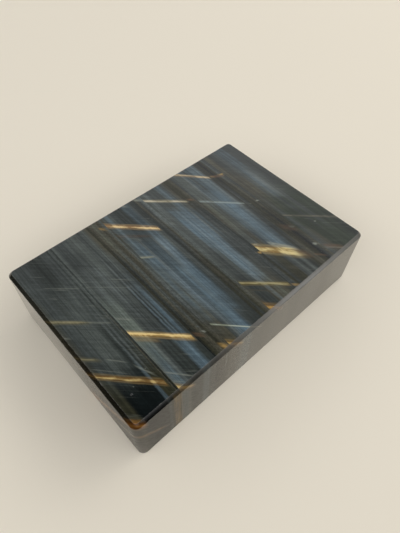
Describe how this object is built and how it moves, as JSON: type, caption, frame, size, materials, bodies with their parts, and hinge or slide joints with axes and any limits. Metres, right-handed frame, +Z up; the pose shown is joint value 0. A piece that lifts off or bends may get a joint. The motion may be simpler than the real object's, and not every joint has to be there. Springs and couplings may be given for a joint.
{
  "type": "polished stone block",
  "caption": "Flat rectangular block of polished blue hawk's-eye stone with gold streaks and a narrow bevel; a display piece or paperweight.",
  "frame": {"origin": "centre of the flat underside that the block rests on", "axes": "+X along the length, across the stone's seams; +Y along the seams; +Z up, out of the polished top face"},
  "size_m": [0.09, 0.06, 0.023],
  "materials": {
    "blue_stone": "polished",
    "iron_stone": "polished",
    "gold_stone": "polished",
    "pale_stone": "polished"
  },
  "bodies": {
    "root": {"blue_seam_1": "blue_stone", "blue_seam_2": "blue_stone", "blue_seam_3": "blue_stone", "blue_seam_4": "blue_stone", "blue_seam_5": "blue_stone", "blue_seam_6": "blue_stone", "iron_band_1": "iron_stone", "iron_band_2": "iron_stone", "iron_band_3": "iron_stone", "iron_band_4": "iron_stone", "iron_band_5": "iron_stone", "gold_streak_1": "gold_stone", "gold_streak_2": "gold_stone", "gold_streak_3": "gold_stone", "gold_streak_4": "gold_stone", "gold_streak_5": "gold_stone", "gold_streak_6": "gold_stone", "gold_streak_7": "gold_stone", "gold_streak_8": "gold_stone", "gold_streak_9": "gold_stone", "gold_streak_10": "gold_stone", "gold_streak_11": "gold_stone", "gold_streak_12": "gold_stone", "gold_streak_13": "gold_stone", "pale_streak_1": "pale_stone", "pale_streak_2": "pale_stone", "pale_streak_3": "pale_stone", "pale_streak_4": "pale_stone", "pale_streak_5": "pale_stone"}
  },
  "joints": []
}
